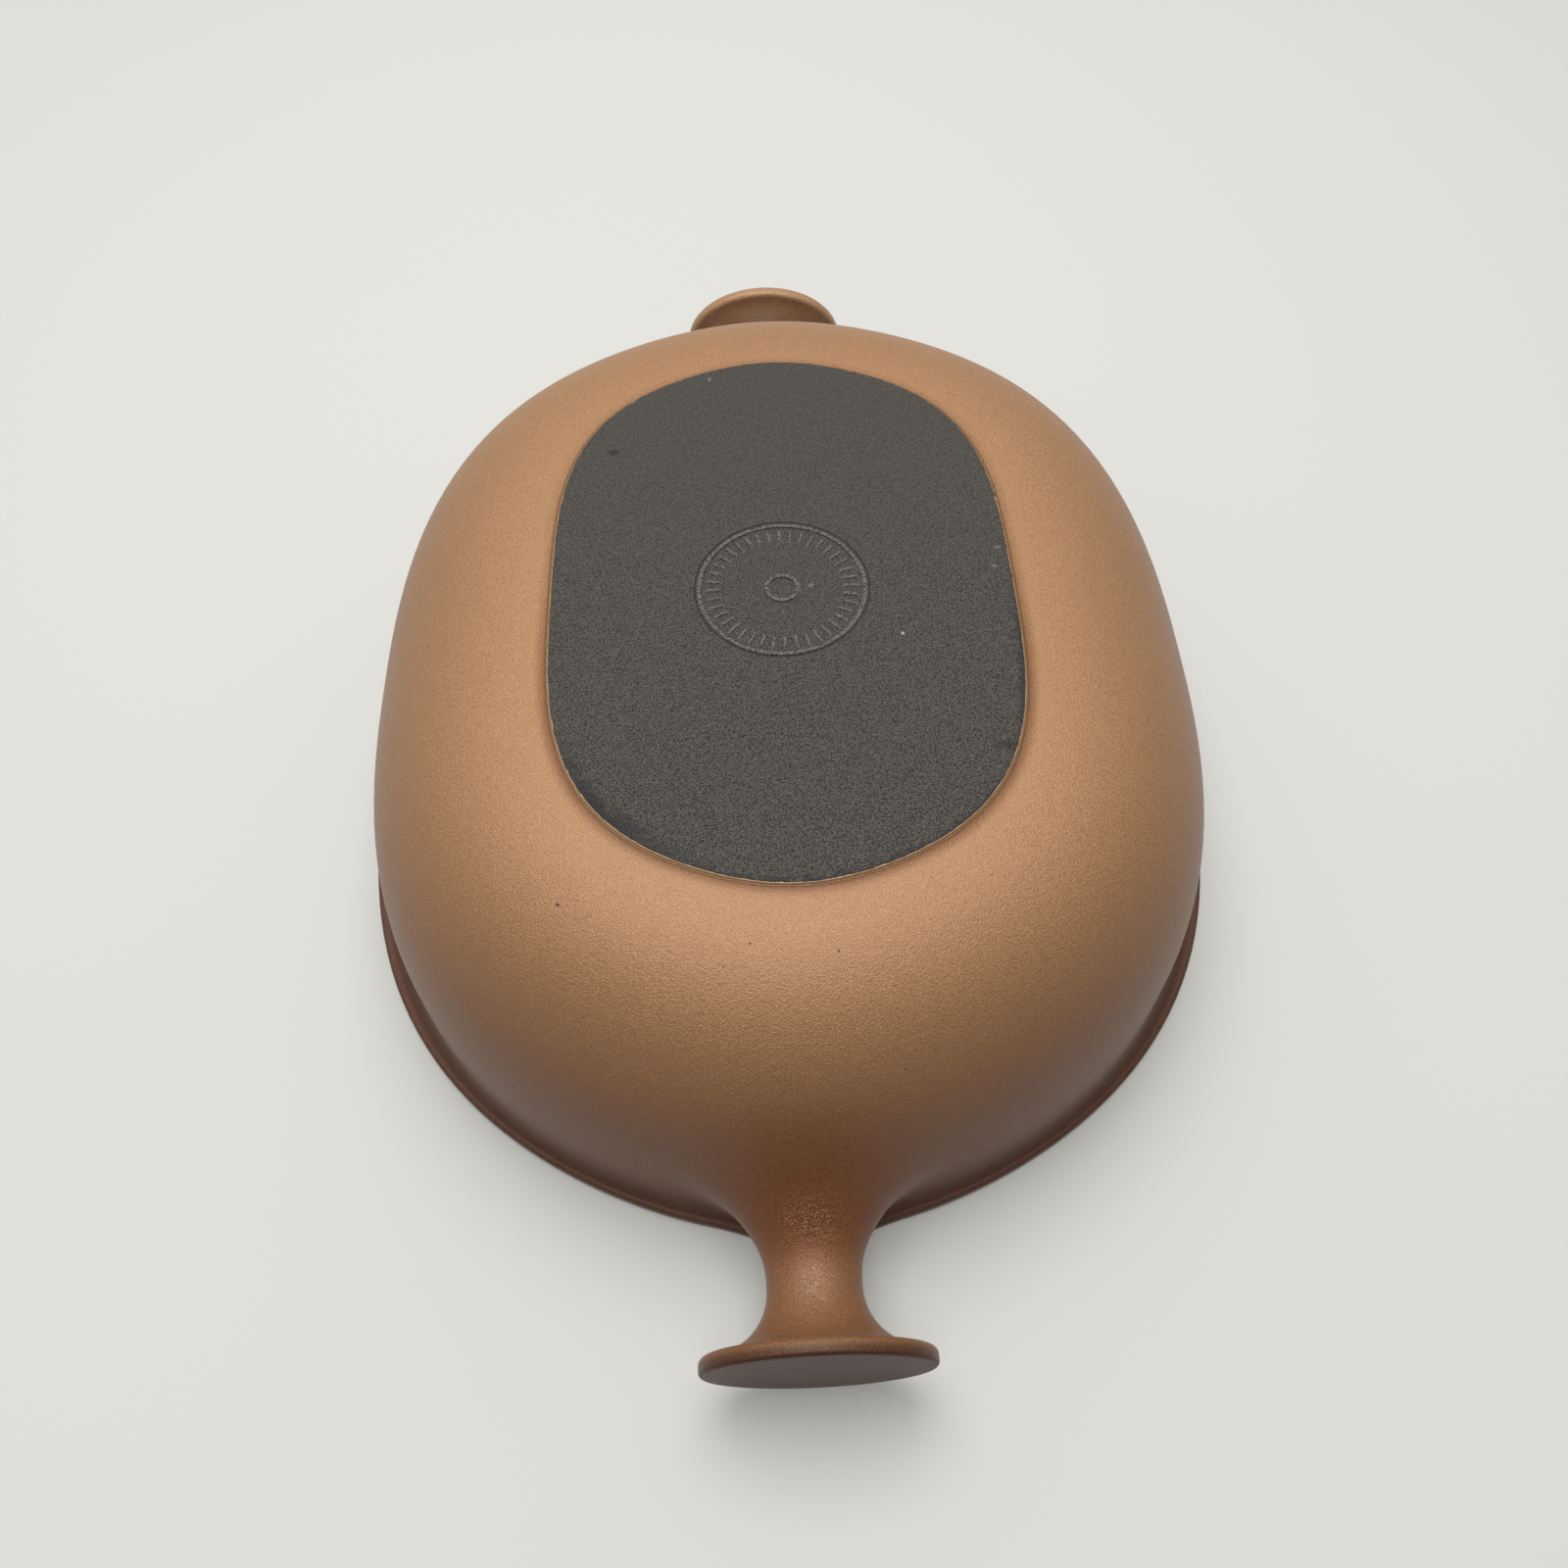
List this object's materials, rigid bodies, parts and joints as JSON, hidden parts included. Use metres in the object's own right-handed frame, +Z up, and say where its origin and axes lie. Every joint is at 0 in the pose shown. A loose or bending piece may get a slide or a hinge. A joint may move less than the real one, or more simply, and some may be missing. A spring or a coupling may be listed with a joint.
{
  "type": "enamelled cast iron dish",
  "caption": "Oval enamelled cast iron oven dish with a rounded belly, a flared lip and a spool handle at each end, lying upside down on its rim.",
  "frame": {"origin": "centre of the rim's plane, on the surface that the upturned dish rests on, so the origin is the bottom centre of its box", "axes": "+Z points up out of the ground base, because the dish is stored upside down; +Y runs along the dish from one handle to the other; a half turn about Y sets it upright"},
  "size_m": [0.219, 0.313, 0.078],
  "materials": {
    "iron": "sand-cast grey iron, hidden under the enamel",
    "copper_enamel": "satin copper-brown vitreous enamel with a fine metallic grain and a faint orange peel, light copper by the base and fading to dark brown at the rim and the handles",
    "cream_enamel": "smooth glossy cream vitreous enamel",
    "ground_coat": "semi-matt black ground-coat enamel",
    "matt_coat": "matt grey-black enamel with a fine gritty speckle"
  },
  "bodies": {
    "root": {"iron_casting": "iron", "outer_enamel": "copper_enamel", "inner_enamel": "cream_enamel", "rim_edge": "ground_coat", "base_coat": "matt_coat"}
  },
  "joints": []
}
